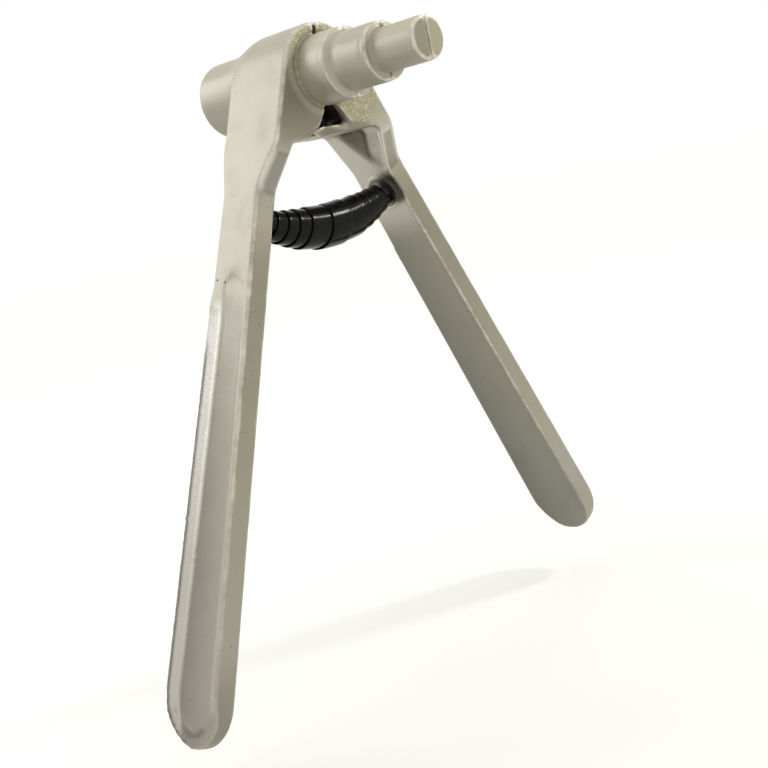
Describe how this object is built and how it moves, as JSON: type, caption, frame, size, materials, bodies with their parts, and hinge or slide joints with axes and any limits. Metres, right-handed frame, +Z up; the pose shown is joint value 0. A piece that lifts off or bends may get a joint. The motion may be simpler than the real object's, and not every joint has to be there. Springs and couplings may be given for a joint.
{
  "type": "hand pipe expander",
  "caption": "Plier-type hand expander for plastic pipe: squeezing its long cast handles opens a split, stepped mandrel about a hinge pin, and a volute spring closes it again.",
  "frame": {"origin": "on the mandrel axis, at the front face of the head, where the large step starts", "axes": "-Y along the mandrel to its small end, +Z up with the handles down, +X to the right handle"},
  "size_m": [0.1738, 0.0864, 0.1824],
  "materials": {
    "casting": "satin warm grey coat over a fine cast skin",
    "pin_steel": "plain ground steel",
    "spring_steel": "black, oiled spring strip"
  },
  "bodies": {
    "left_half": {"left_handle": "casting", "hinge_pin": "pin_steel", "return_spring": "spring_steel"},
    "right_half": {"right_handle": "casting"}
  },
  "joints": [
    {"name": "squeeze", "type": "hinge", "parent": "left_half", "child": "right_half", "pos_m": [0, 0.0158, -0.0133], "axis": [0, 1, 0], "range_deg": [0, 42], "stiffness_Nm_per_rad": 1.2, "springref_deg": -22.92, "deforming": ["return_spring"]}
  ]
}
